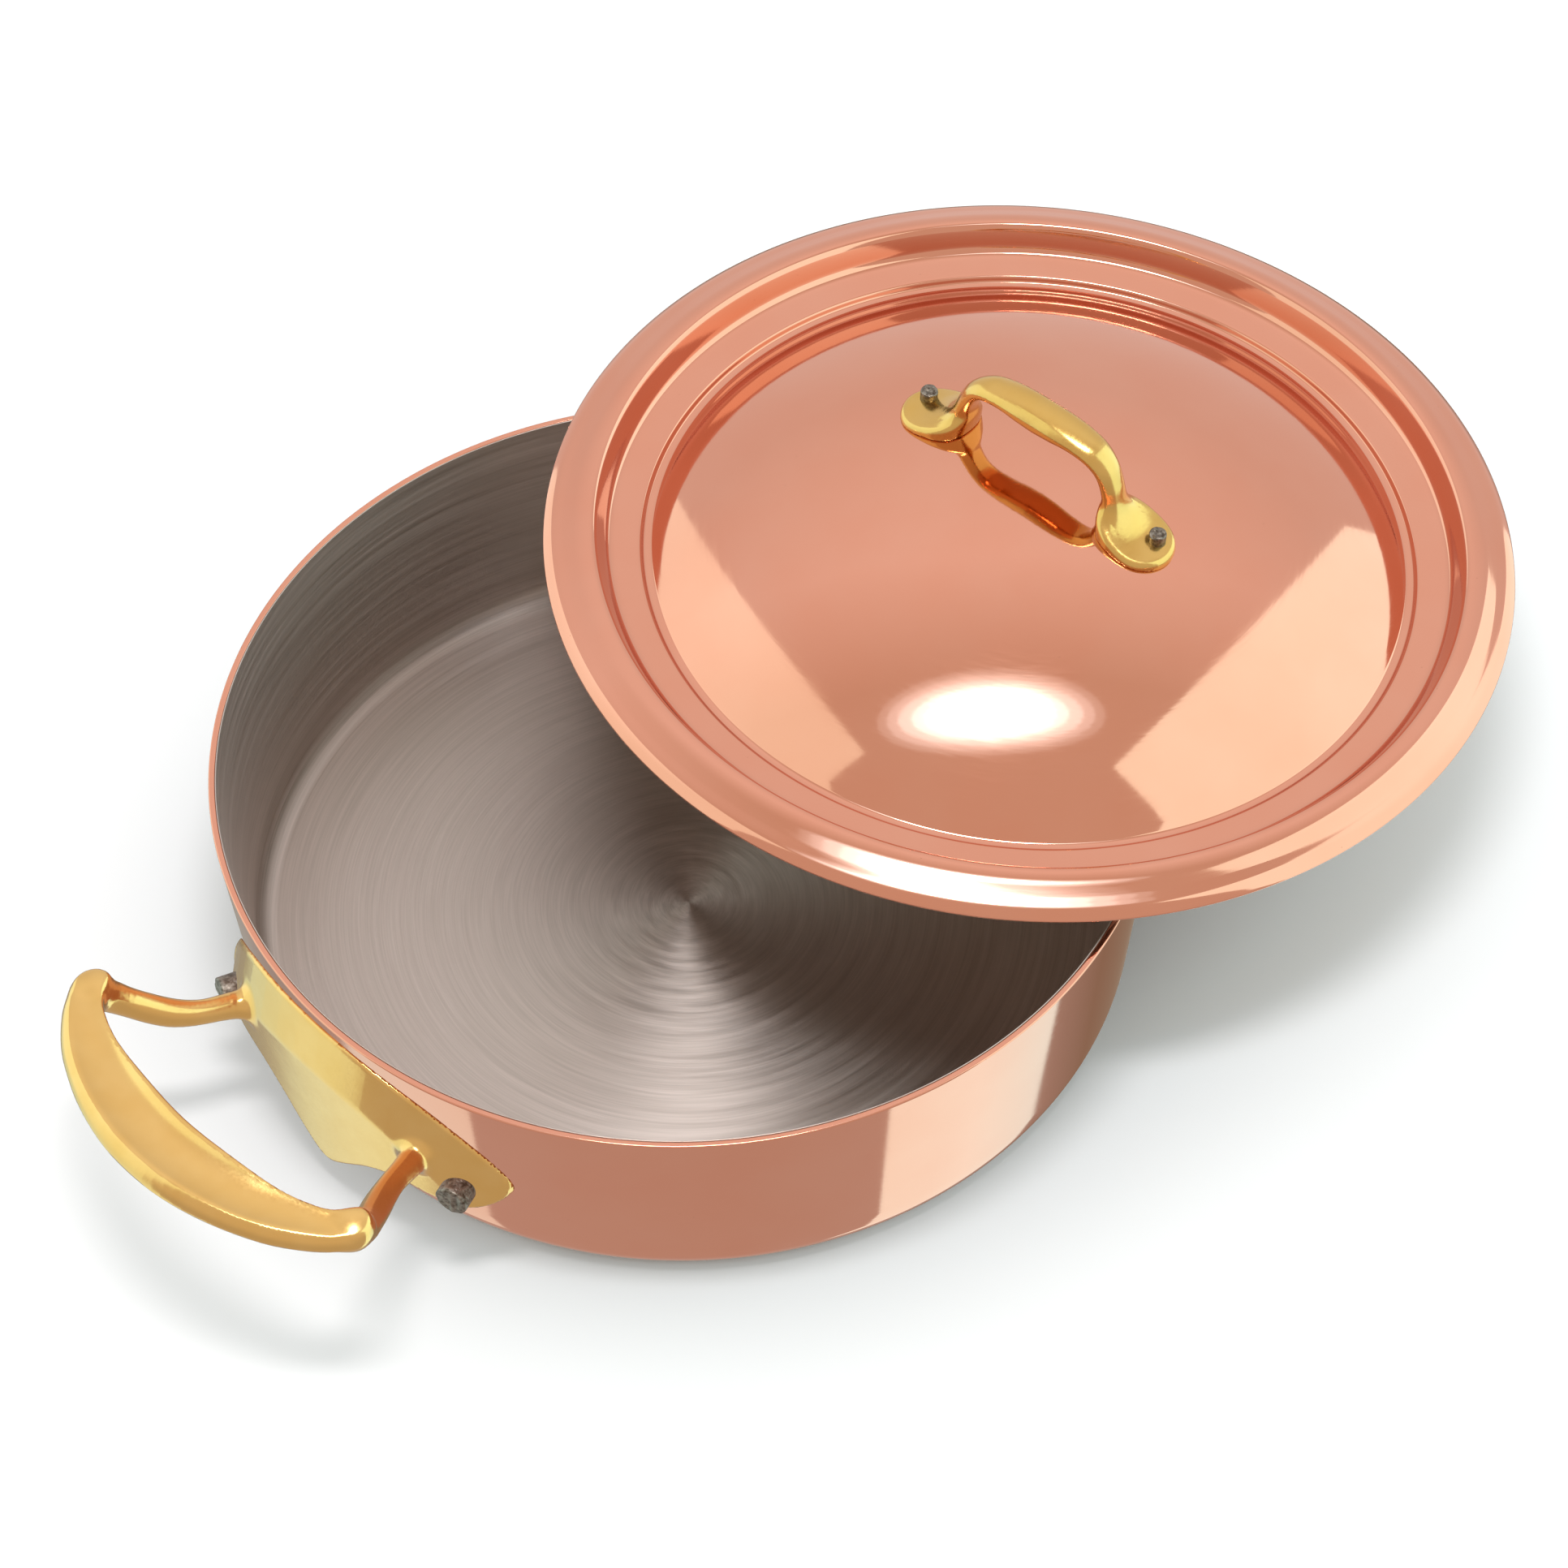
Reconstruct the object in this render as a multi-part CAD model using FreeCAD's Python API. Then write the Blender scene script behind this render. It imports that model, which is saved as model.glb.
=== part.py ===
"""Copper saute pan with two brass loop handles and a domed lid, parked ajar on the pan's rim.

Millimetres. Origin at the centre of the underside of the base, +Z up, side handles along X.
"""
import FreeCAD, Part
import math
import os

V = FreeCAD.Vector
AXIS = V(0, 0, 0)
UP = V(0, 0, 1)
TINY = 0.01
PAST = 60.0  # length that runs clear through any wall or casting

# Pan: a pressed copper bowl with a steel lining bonded to its inside.
PAN_HEIGHT = 63.0
RIM_RADIUS = 122.0
BASE_RADIUS = 115.5
CORNER_RADIUS = 7.7
PAN_COPPER = 1.7
PAN_STEEL = 0.3

# Side handle: a winged plate on the wall and a loop grip. Heights below are from the rim.
PLATE_GAP = 0.05
PLATE_TOP = -2.5
PLATE_RIDGE = -18.5
PLATE_TIP = -54.5
PLATE_EDGE_THICK = 0.8
PLATE_FACE_RADIUS = 126.2
PLATE_WING = 52.6
PLATE_WING_TOP = -23.0
PLATE_WING_FOOT = -38.5
GRIP_REACH = 175.4
GRIP_HALF_SPAN = 50.5
GRIP_SAG = 15.6
GRIP_RISE = -1.6
GRIP_END_DROP = 2.8
GRIP_WIDTH = 19.8
GRIP_END_WIDTH = 10.0
GRIP_THICK = 9.4
GRIP_END_THICK = 8.2
ELBOW_RADIUS = 4.6

# Rivets of the side handles.
RIVET_RADIUS = 4.45
RIVET_CLEARANCE = 0.05
RIVET_ANGLE = 20.2
RIVET_HEIGHT = -32.5
RIVET_TAIL = 3.4
RIVET_TAIL_CHAMFER = 0.7
RIVET_HEAD_RADIUS = 7.5
RIVET_HEAD_THICK = 1.8
RIVET_HEAD_ROUND = 1.2

# Lid, in its own frame: z = 0 at the top of the outer lip.
LID_RADIUS = 127.5
LID_COPPER = 0.9
LID_STEEL = 0.3
FLANGE_BULGE = (123.0, 2.65)
FLANGE_INNER = (118.3, 4.55)
BEAD_CREST = (116.4, 5.0)
STEP_TOP = (114.5, 4.1)
STEP_FOOT = (110.4, -1.7)
LEDGE_INNER = (102.2, -2.2)
GROOVE_OUTER = (101.3, -3.8)
GROOVE_INNER = (99.4, -3.8)
DOME_APEX = 29.6

# Lid handle: a cast strap between two pads, in the lid's frame with its length along X.
LID_RIVET_OFFSET = 37.8
LID_RIVET_SIDE = -1.8
LID_RIVET_RADIUS = 2.3
LID_RIVET_STUB = 3.0
LID_RIVET_CHAMFER = 0.4
LID_RIVET_HEAD_RADIUS = 4.6
LID_RIVET_HEAD_THICK = 1.2
PAD_LENGTH = 22.0
PAD_WIDTH = 19.0
PAD_CENTRE = 32.4
PAD_THICK = 2.8
STRAP_TOP = 52.6
STRAP_WIDTH = 10.6
STRAP_NECK = 7.8
STRAP_THICK = 5.0
STRAP_BELLY = 1.6

# Where the lid rests: across the rim at two points, tilted down over the far handle.
LID_CENTRE = V(112.0, -12.1, PAN_HEIGHT + 3.55)
LID_TILT = 3.9
LID_TILT_HEADING = -8.4
LID_SPIN = 97.0


def radius_at(height):
    """Outer radius of the tapered wall at a height above the base."""
    return BASE_RADIUS + (RIM_RADIUS - BASE_RADIUS) * height / PAN_HEIGHT


def bowl(inset, top):
    """Solid filled bowl: the pan's outside moved in by inset, cut off at height top."""
    foot = V(radius_at(inset) - inset, 0, inset)
    brim = V(radius_at(top) - inset, 0, top)
    outline = [V(0, 0, inset), foot, brim, V(0, 0, top)]
    solid = turned(outline)
    corner = [e for e in solid.Edges if edge_at(e, inset)]
    return solid.makeFillet(CORNER_RADIUS - inset, corner)


def edge_at(edge, height):
    """True for a circular edge that lies flat at a height."""
    if not isinstance(edge.Curve, Part.Circle):
        return False
    return abs(edge.BoundBox.ZMin - height) < TINY and edge.BoundBox.ZLength < TINY


def turned(points):
    """Solid of revolution about Z from a closed outline in the XZ half plane."""
    face = Part.Face(Part.makePolygon(points + [points[0]]))
    return face.revolve(AXIS, UP, 360)


def from_rim(z):
    return PAN_HEIGHT + z


def section(centre, along, wide, width, thick):
    """Elliptical wire across a bar: width is measured along wide, thick across it."""
    turn = FreeCAD.Rotation(wide, V(0, 0, 0), along, "ZXY")
    ellipse = Part.Ellipse(AXIS, max(width, thick + TINY) / 2, thick / 2).toShape()
    wire = Part.Wire([ellipse])
    wire.Placement = FreeCAD.Placement(centre, turn)
    return wire


# ---- pan -------------------------------------------------------------------------------------


def side_rivet_axes():
    """Root point and outward direction of the four rivets, named by handle and place."""
    axes = {}
    for side, base in (("right", 0.0), ("left", 180.0)):
        for place, sign in (("front", -1), ("rear", 1)):
            swing = sign if side == "right" else -sign
            heading = math.radians(base + swing * RIVET_ANGLE)
            outward = V(math.cos(heading), math.sin(heading), 0)
            root = outward * radius_at(from_rim(RIVET_HEIGHT)) + UP * from_rim(RIVET_HEIGHT)
            axes[f"{side}_{place}"] = (root, outward)
    return axes


def drilled(solid):
    """The solid with the four rivet holes through it."""
    for root, outward in side_rivet_axes().values():
        start = root - outward * PAST / 2
        hole = Part.makeCylinder(RIVET_RADIUS + RIVET_CLEARANCE, PAST, start, outward)
        solid = solid.cut(hole)
    return solid


def bowl_layer(outer, inner):
    """Layer of the bowl between two depths, open at the rim and drilled for the rivets."""
    hollow = bowl(inner, PAN_HEIGHT + CORNER_RADIUS)
    return drilled(bowl(outer, PAN_HEIGHT).cut(hollow))


def side_rivet(root, outward):
    """Flat head inside the pan, shank through wall and plate, blunt tail outside."""
    wall = PAN_COPPER + PAN_STEEL
    tail_end = PLATE_FACE_RADIUS - radius_at(from_rim(RIVET_HEIGHT)) + RIVET_TAIL
    shank = Part.makeCylinder(RIVET_RADIUS, wall + tail_end, root - outward * wall, outward)
    tip = max(shank.Edges, key=lambda e: e.CenterOfMass.dot(outward) if e.Closed else -1)
    shank = shank.makeChamfer(RIVET_TAIL_CHAMFER, [tip])
    head_start = root - outward * (wall + RIVET_HEAD_THICK)
    head = Part.makeCylinder(RIVET_HEAD_RADIUS, RIVET_HEAD_THICK + wall, head_start, outward)
    rim = min(head.Edges, key=lambda e: e.CenterOfMass.dot(outward) if e.Closed else math.inf)
    head = head.makeFillet(RIVET_HEAD_ROUND, [rim])
    inside = bowl(wall + RIVET_CLEARANCE, PAN_HEIGHT)
    return head.common(inside).fuse(shank).removeSplitter()


# ---- side handles ----------------------------------------------------------------------------


def plate_outline():
    """Outline of the winged plate seen along its radius: arched top, lobed wings, blunt tip."""
    half = PLATE_WING
    right = [
        (0, PLATE_TOP),
        (0.22 * half, PLATE_TOP - 1.0),
        (0.44 * half, PLATE_TOP - 3.3),
        (0.68 * half, PLATE_TOP - 8.6),
        (0.92 * half, PLATE_WING_TOP),
        (half, PLATE_WING_TOP - 8),
        (0.92 * half, PLATE_WING_FOOT + 3.5),
        (0.78 * half, PLATE_WING_FOOT),
        (0.56 * half, PLATE_WING_FOOT - 0.2),
        (0.42 * half, PLATE_WING_FOOT - 1.7),
        (0.25 * half, PLATE_WING_FOOT - 6.6),
        (0.075 * half, PLATE_TIP + 2.2),
    ]
    left = [(-y, z) for y, z in reversed(right[1:])]
    points = [V(0, y, from_rim(z)) for y, z in right + [(0, PLATE_TIP)] + left]
    curve = Part.BSplineCurve()
    curve.interpolate(points, PeriodicFlag=True)
    return Part.Wire([curve.toShape()])


def side_plate():
    """The plate: a curved band hugging the wall, cut to the winged outline."""
    top = from_rim(PLATE_TOP)
    foot = from_rim(PLATE_TIP) - PLATE_EDGE_THICK
    outer = [
        V(radius_at(top) + PLATE_EDGE_THICK, 0, top),
        V(PLATE_FACE_RADIUS, 0, from_rim(PLATE_RIDGE)),
        V(PLATE_FACE_RADIUS, 0, foot),
    ]
    inner = [V(radius_at(z) + PLATE_GAP, 0, z) for z in (foot, top)]
    band = turned(outer + inner)
    stamp = Part.Face(plate_outline()).extrude(V(GRIP_REACH, 0, 0))
    return band.common(stamp)


def grip():
    """Crescent grip, widest in the middle and tapering to its ends."""
    wires = []
    steps = 8
    for i in range(steps + 1):
        share = -1 + 2 * i / steps
        y = GRIP_HALF_SPAN * share
        x = GRIP_REACH - GRIP_SAG * share ** 2
        along = V(-2 * GRIP_SAG * share / GRIP_HALF_SPAN, 1, 0)
        width = GRIP_WIDTH + (GRIP_END_WIDTH - GRIP_WIDTH) * abs(share) ** 2.6
        thick = GRIP_THICK + (GRIP_END_THICK - GRIP_THICK) * share ** 2
        wide = V(along.y, -along.x, 0)
        z = from_rim(GRIP_RISE - GRIP_END_DROP * share ** 2)
        wires.append(section(V(x, y, z), along, wide, width, thick))
    return Part.makeLoft(wires, True, False)


def leg(side):
    """One waisted leg from the plate's ridge up and out to the grip's end."""
    stations = [
        ((120.5, 32.5, -24.6), 9.6),
        ((127.5, 34.8, -22.7), 6.8),
        ((134.0, 37.1, -21.0), 6.3),
        ((140.5, 40.8, -18.4), 7.1),
        ((147.5, 46.0, -12.8), 7.6),
        ((155.6, 50.0, -5.2), 8.6),
    ]
    centres = [V(x, side * y, from_rim(z)) for (x, y, z), _ in stations]
    wires = []
    for i, (_, size) in enumerate(stations):
        ahead = centres[min(i + 1, len(centres) - 1)]
        behind = centres[max(i - 1, 0)]
        along = ahead - behind
        wires.append(section(centres[i], along, along.cross(UP), size, size - 0.4))
    elbow = Part.makeSphere(ELBOW_RADIUS, centres[-1])
    return Part.makeLoft(wires, True, False).fuse(elbow)


def side_handle(turn):
    """Plate, legs and grip as the single casting that they are; turn places it round the pan."""
    casting = side_plate().fuse([leg(1), leg(-1), grip()])
    outside = bowl(-PLATE_GAP, PAN_HEIGHT + GRIP_THICK)
    casting = casting.cut(outside).removeSplitter()
    for place in ("right_front", "right_rear"):
        root, outward = side_rivet_axes()[place]
        start = root - outward * RIVET_RADIUS
        hole = Part.makeCylinder(RIVET_RADIUS + RIVET_CLEARANCE, PAST, start, outward)
        casting = casting.cut(hole)
    casting.rotate(AXIS, UP, turn)
    return casting


# ---- lid, built in its own frame -------------------------------------------------------------


def dome_sphere():
    """Centre height and radius of the sphere that the dome is part of."""
    half, foot = GROOVE_INNER
    rise = DOME_APEX - foot
    radius = (half ** 2 + rise ** 2) / (2 * rise)
    return DOME_APEX - radius, radius


def dome_height(r):
    centre, radius = dome_sphere()
    return centre + math.sqrt(radius ** 2 - r ** 2)


def under(corner, depth, out, down):
    """A corner of the lid's top surface moved to the surface a depth below it."""
    return V(corner[0] + depth * out, 0, corner[1] - depth * down)


def lid_curve(depth):
    """Half section of the lid from apex to lip, moved in by depth from its top surface."""
    centre, radius = dome_sphere()
    shrunk = radius - depth
    foot_r = GROOVE_INNER[0]
    foot_z = centre + math.sqrt(shrunk ** 2 - foot_r ** 2)
    half_r = 0.55 * foot_r
    half_z = centre + math.sqrt(shrunk ** 2 - half_r ** 2)
    apex = V(0, 0, centre + shrunk)
    dome = Part.Arc(apex, V(half_r, 0, half_z), V(foot_r, 0, foot_z)).toShape()
    steps = [
        V(foot_r, 0, foot_z),
        under(GROOVE_OUTER, depth, -0.6, 1.0),
        under(LEDGE_INNER, depth, -0.6, 1.0),
        under(STEP_FOOT, depth, 0.52, 1.0),
        under(STEP_TOP, depth, 0.8, 0.55),
    ]
    walls = [Part.LineSegment(a, b).toShape() for a, b in zip(steps, steps[1:])]
    slope = under(FLANGE_INNER, depth, -0.4, 0.92)
    bead = Part.Arc(steps[-1], under(BEAD_CREST, depth, 0.15, 1.0), slope).toShape()
    lip = under((LID_RADIUS, 0.0), depth, -0.48, 0.88)
    flange = Part.Arc(slope, under(FLANGE_BULGE, depth, -0.44, 0.9), lip).toShape()
    return [dome] + walls + [bead, flange]


def lid_layer(top, bottom):
    """Solid layer of the lid between two depths."""
    above = lid_curve(top)
    below = lid_curve(bottom)
    lip = Part.LineSegment(above[-1].lastVertex().Point, below[-1].lastVertex().Point)
    axis = Part.LineSegment(below[0].firstVertex().Point, above[0].firstVertex().Point)
    edges = Part.sortEdges(above + below + [lip.toShape(), axis.toShape()])[0]
    face = Part.Face(Part.Wire(edges))
    return lid_drilled(face.revolve(AXIS, UP, 360))


def lid_drilled(solid):
    """The solid with the two rivet holes through it."""
    for side in (-1, 1):
        start = V(side * LID_RIVET_OFFSET, LID_RIVET_SIDE, 0)
        solid = solid.cut(Part.makeCylinder(LID_RIVET_RADIUS + RIVET_CLEARANCE, PAST, start))
    return solid


def lid_pad(side):
    """Oval pad that sits on the dome under one end of the strap."""
    centre, radius = dome_sphere()
    oval = Part.Ellipse(AXIS, PAD_LENGTH / 2, PAD_WIDTH / 2).toShape()
    post = Part.Face(Part.Wire([oval])).extrude(UP * PAST)
    post.translate(V(side * PAD_CENTRE, 0, 0))
    under = Part.makeSphere(radius + PLATE_GAP, V(0, 0, centre))
    over = Part.makeSphere(radius + PAD_THICK, V(0, 0, centre))
    return post.common(over).cut(under)


def strap():
    """Arched strap between the pads, thickened under the middle for the fingers."""
    crest = STRAP_TOP - STRAP_THICK / 2
    half = [
        (27.5, dome_height(27.5) + 0.8, 13.0, STRAP_THICK),
        (25.4, crest - 12.5, STRAP_NECK, STRAP_THICK),
        (23.4, crest - 6.4, STRAP_NECK, STRAP_THICK),
        (18.8, crest - 2.2, 8.8, STRAP_THICK),
        (11.0, crest - 0.8, 10.0, STRAP_THICK),
    ]
    stations = half + [(0.0, crest - STRAP_BELLY / 2, STRAP_WIDTH, STRAP_THICK + STRAP_BELLY)]
    stations += [(-x, z, w, t) for x, z, w, t in reversed(half)]
    wires = []
    for i, (x, z, width, thick) in enumerate(stations):
        ahead = stations[min(i + 1, len(stations) - 1)]
        behind = stations[max(i - 1, 0)]
        along = V(ahead[0] - behind[0], 0, ahead[1] - behind[1])
        wires.append(section(V(x, 0, z), along, V(0, 1, 0), width, thick))
    return Part.makeLoft(wires, True, False)


def lid_handle():
    centre, radius = dome_sphere()
    casting = strap().fuse([lid_pad(1), lid_pad(-1)])
    casting = casting.cut(Part.makeSphere(radius + PLATE_GAP, V(0, 0, centre)))
    return lid_drilled(casting).removeSplitter()


def lid_rivet(side):
    """Small head under the lining, shank through lid and pad, short stub on top."""
    x = side * LID_RIVET_OFFSET
    y = LID_RIVET_SIDE
    seat = dome_height(LID_RIVET_OFFSET) - LID_COPPER - LID_STEEL
    slope = LID_RIVET_HEAD_RADIUS * LID_RIVET_OFFSET / dome_sphere()[1]
    foot = seat - slope - LID_RIVET_HEAD_THICK
    top = dome_height(LID_RIVET_OFFSET) + PAD_THICK + LID_RIVET_STUB
    shank = Part.makeCylinder(LID_RIVET_RADIUS, top - foot, V(x, y, foot))
    tip = max(shank.Edges, key=lambda e: e.CenterOfMass.z if e.Closed else -1)
    shank = shank.makeChamfer(LID_RIVET_CHAMFER, [tip])
    head = Part.makeCylinder(LID_RIVET_HEAD_RADIUS, seat - foot + slope, V(x, y, foot))
    centre, radius = dome_sphere()
    under = Part.makeSphere(radius - LID_COPPER - LID_STEEL - RIVET_CLEARANCE, V(0, 0, centre))
    return head.common(under).fuse(shank).removeSplitter()


def parked(shape):
    """Move a lid piece from the lid's frame to where the lid rests on the pan."""
    heading = math.radians(LID_TILT_HEADING)
    tilt_axis = V(-math.sin(heading), math.cos(heading), 0)
    shape.rotate(AXIS, UP, LID_SPIN)
    shape.rotate(AXIS, tilt_axis, LID_TILT)
    shape.translate(LID_CENTRE)
    return shape


def pieces():
    """Every sub-part by name."""
    made = {
        "pan_body": bowl_layer(0.0, PAN_COPPER),
        "pan_lining": bowl_layer(PAN_COPPER, PAN_COPPER + PAN_STEEL),
        "side_handle_right": side_handle(0),
        "side_handle_left": side_handle(180),
        "lid_shell": parked(lid_layer(0.0, LID_COPPER)),
        "lid_lining": parked(lid_layer(LID_COPPER, LID_COPPER + LID_STEEL)),
        "lid_handle": parked(lid_handle()),
        "lid_rivet_front": parked(lid_rivet(-1)),
        "lid_rivet_rear": parked(lid_rivet(1)),
    }
    for place, (root, outward) in side_rivet_axes().items():
        made[f"side_rivet_{place}"] = side_rivet(root, outward)
    return made


os.makedirs("parts", exist_ok=True)
for name, shape in pieces().items():
    shape.exportStep(f"parts/{name}.step")
    box = shape.BoundBox
    print(f"{name:24s} valid={shape.isValid()} solids={len(shape.Solids)} volume={shape.Volume:.0f} "
          f"x {box.XMin:.1f}..{box.XMax:.1f} y {box.YMin:.1f}..{box.YMax:.1f} "
          f"z {box.ZMin:.1f}..{box.ZMax:.1f}")
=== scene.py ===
"""Looks of the copper saute pan: polished copper, brushed steel lining, cast brass handles, steel rivets.

Lengths in the shape code are millimetres and become metres when a mesh is made. Heights of the
side handle are measured from the pan's rim, and the lid is built in its own frame with z = 0 at
the top of its outer lip.
"""

import math
from itertools import product

import bpy
import numpy as np
from mathutils import Matrix, Vector, noise


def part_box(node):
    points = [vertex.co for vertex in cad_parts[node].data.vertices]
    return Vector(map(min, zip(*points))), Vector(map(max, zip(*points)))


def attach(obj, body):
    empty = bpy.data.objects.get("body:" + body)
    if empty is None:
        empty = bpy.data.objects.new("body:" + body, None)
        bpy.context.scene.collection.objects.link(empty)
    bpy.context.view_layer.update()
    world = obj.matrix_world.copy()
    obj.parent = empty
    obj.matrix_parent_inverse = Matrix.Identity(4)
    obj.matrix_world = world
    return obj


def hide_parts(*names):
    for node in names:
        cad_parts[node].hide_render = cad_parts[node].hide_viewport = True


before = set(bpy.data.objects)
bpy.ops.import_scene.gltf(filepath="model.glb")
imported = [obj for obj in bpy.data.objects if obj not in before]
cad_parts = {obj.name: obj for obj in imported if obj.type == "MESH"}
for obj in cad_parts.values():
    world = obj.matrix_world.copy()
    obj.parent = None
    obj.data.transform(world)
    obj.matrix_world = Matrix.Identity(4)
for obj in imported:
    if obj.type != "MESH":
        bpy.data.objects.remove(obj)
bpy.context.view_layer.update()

MM = 0.001
UP = Vector((0, 0, 1))

# Pan.
PAN_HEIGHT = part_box("pan_body")[1].z / MM
RIM_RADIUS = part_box("pan_body")[1].x / MM
BASE_RADIUS = RIM_RADIUS - 6.5
CORNER_RADIUS = 7.7
COPPER_THICK = 1.7
LINING_THICK = 0.3
RIM_ROUND = 0.45
LAYER_GAP = 0.01
SEAT_GAP = 0.05
TURNS = 320

# Lid.
LID_RADIUS = 127.5
LID_COPPER_THICK = 0.9
LID_LINING_THICK = 0.3
DOME_APEX = 29.6
DOME_FOOT = (99.4, -3.8)
GROOVE_BENDS = [(101.3, -3.8), (102.2, -2.2)]
LEDGE_MIDDLE = (106.0, -1.97)
BEAD_BENDS = [(110.6, -1.7), (114.6, 6.0), (118.5, 5.15)]
FLANGE_BENDS = [(122.7, 2.85), (125.8, 1.75)]
GROOVE_SOFTNESS = 0.45
BEAD_SOFTNESS = 1.3
LID_CENTRE = Vector((112.0, -12.1, PAN_HEIGHT + 3.55))
LID_TILT = math.radians(3.9)
LID_HEADING = math.radians(-8.4)
LID_TURNS = 360
LID_SPIN = Matrix.Rotation(math.radians(97), 4, "Z")

# Side rivets: angle from the handle's axis, height from the rim, end of the tail from the axis.
RIVET_ANGLE = math.radians(20.2)
RIVET_HEIGHT = -32.5
RIVET_TAIL_END = 129.1
RIVET_RADIUS = 4.4
RIVET_HEAD_RADIUS = 7.4
RIVET_HEAD_THICK = 1.6
RIVET_EDGE = 0.5
RIVET_DENT = 0.55
RIVET_FLARE = 0.03
RIVET_CREASE = 55
HAMMERED_DEPTH = 2.2

# Lid rivets.
LID_RIVET_OFFSET = 37.8
LID_RIVET_SIDE = -1.8
LID_RIVET_RADIUS = 2.3
LID_RIVET_TOP = 5.7
LID_RIVET_HEAD_RADIUS = 4.6
LID_RIVET_HEAD_THICK = 1.2
LID_RIVET_HEAD_DROP = 1.0

# Colours that more than one material uses.
COPPER_TONES = (0.716, 0.323, 0.218, 1), (0.71, 0.307, 0.203, 1)
SCUFF = (0.26, 0.08, 0.04, 1)


# ---- meshes ----------------------------------------------------------------------------------


def mesh_object(name, points, faces, crease=None):
    """Smooth shaded object from points in millimetres; crease is the angle where shading breaks."""
    mesh = bpy.data.meshes.new(name)
    mesh.from_pydata((np.asarray(points) * MM).tolist(), [], faces)
    mesh.shade_smooth()
    if crease:
        mesh.set_sharp_from_angle(angle=math.radians(crease))
    made = bpy.data.objects.new(name, mesh)
    bpy.context.scene.collection.objects.link(made)
    return made


def lathe(name, outline, turns, crease=40):
    """Closed solid turned about Z from an outline that starts and ends on the axis."""
    ring = np.linspace(0, 2 * math.pi, turns, endpoint=False)
    middle = np.asarray(outline[1:-1], float)
    circle = np.stack([np.cos(ring), np.sin(ring)], 1)
    points = [(0, 0, outline[0][1])]
    for radius, height in middle:
        points += [(radius * c, radius * s, height) for c, s in circle]
    points.append((0, 0, outline[-1][1]))
    faces = []
    last = len(points) - 1
    final_ring = last - turns
    for i in range(turns):
        j = (i + 1) % turns
        faces.append((0, 1 + i, 1 + j))
        faces.append((last, final_ring + j, final_ring + i))
        for row in range(len(middle) - 1):
            a = 1 + row * turns
            b = a + turns
            faces.append((a + i, b + i, b + j, a + j))
    return mesh_object(name, points, faces, crease)


def arc(centre, radius, start, stop, steps):
    """Points on an arc, angles in degrees."""
    angles = np.radians(np.linspace(start, stop, steps + 1))
    return [(centre[0] + radius * math.cos(a), centre[1] + radius * math.sin(a)) for a in angles]


def pressed(corners, softness, spacing=0.2):
    """Evenly spaced line through the corners with every bend eased, as sheet metal takes it."""
    corners = np.asarray(corners, float)
    lengths = np.hypot(*np.diff(corners, axis=0).T)
    along = np.concatenate([[0], np.cumsum(lengths)])
    even = np.linspace(0, along[-1], int(along[-1] / spacing))
    line = np.stack([np.interp(even, along, corners[:, i]) for i in (0, 1)], 1)
    reach = int(3 * softness / spacing)
    kernel = np.exp(-0.5 * (np.arange(-reach, reach + 1) * spacing / softness) ** 2)
    kernel /= kernel.sum()
    padded = np.pad(line, ((reach, reach), (0, 0)), mode="reflect", reflect_type="odd")
    return np.stack([np.convolve(padded[:, i], kernel, "valid") for i in (0, 1)], 1)


def inset(line, depth):
    """The line moved by depth to the right of its direction."""
    tangent = np.gradient(line, axis=0)
    tangent /= np.linalg.norm(tangent, axis=1)[:, None]
    return line + depth * np.stack([tangent[:, 1], -tangent[:, 0]], 1)


def kept_rows(line, bend=1.5, longest=4.0):
    """Indices of the points to keep: closer together where the line turns."""
    tangent = np.gradient(line, axis=0)
    heading = np.unwrap(np.arctan2(tangent[:, 1], tangent[:, 0]))
    rows = [0]
    for i in range(1, len(line) - 1):
        turned = abs(heading[i] - heading[rows[-1]]) > math.radians(bend)
        far = np.linalg.norm(line[i] - line[rows[-1]]) > longest
        if turned or far:
            rows.append(i)
    return rows + [len(line) - 1]


def smooth_loop(points, steps=5):
    """Closed Catmull-Rom curve through the points."""
    points = np.asarray(points, float)
    before, after, beyond = (np.roll(points, shift, axis=0) for shift in (1, -1, -2))
    curve = []
    for t in np.arange(steps) / steps:
        cubic = 2 * points + (after - before) * t
        cubic += (2 * before - 5 * points + 4 * after - beyond) * t ** 2
        cubic += (3 * points - before - 3 * after + beyond) * t ** 3
        curve.append(cubic / 2)
    return np.stack(curve, 1).reshape(-1, points.shape[1])


def smooth_line(points, steps=6):
    """Open Catmull-Rom curve through rows of values."""
    points = np.asarray(points, float)
    ends = np.concatenate([[2 * points[0] - points[1]], points, [2 * points[-1] - points[-2]]])
    loop = smooth_loop(ends, steps)
    return loop[steps:steps * len(points) + 1]


# ---- distance fields and their skins ---------------------------------------------------------


def easy_min(a, b, ease):
    """Union of two fields with a fillet of about the size of ease."""
    share = np.clip(0.5 + 0.5 * (b - a) / ease, 0, 1)
    return b + (a - b) * share - ease * share * (1 - share)


def easy_max(a, b, ease):
    """Intersection of two fields with an eased edge."""
    return -easy_min(-a, -b, ease)


def ramp(value, start, stop):
    """Smooth step from 0 at start to 1 at stop."""
    t = np.clip((value - start) / (stop - start), 0, 1)
    return t * t * (3 - 2 * t)


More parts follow.
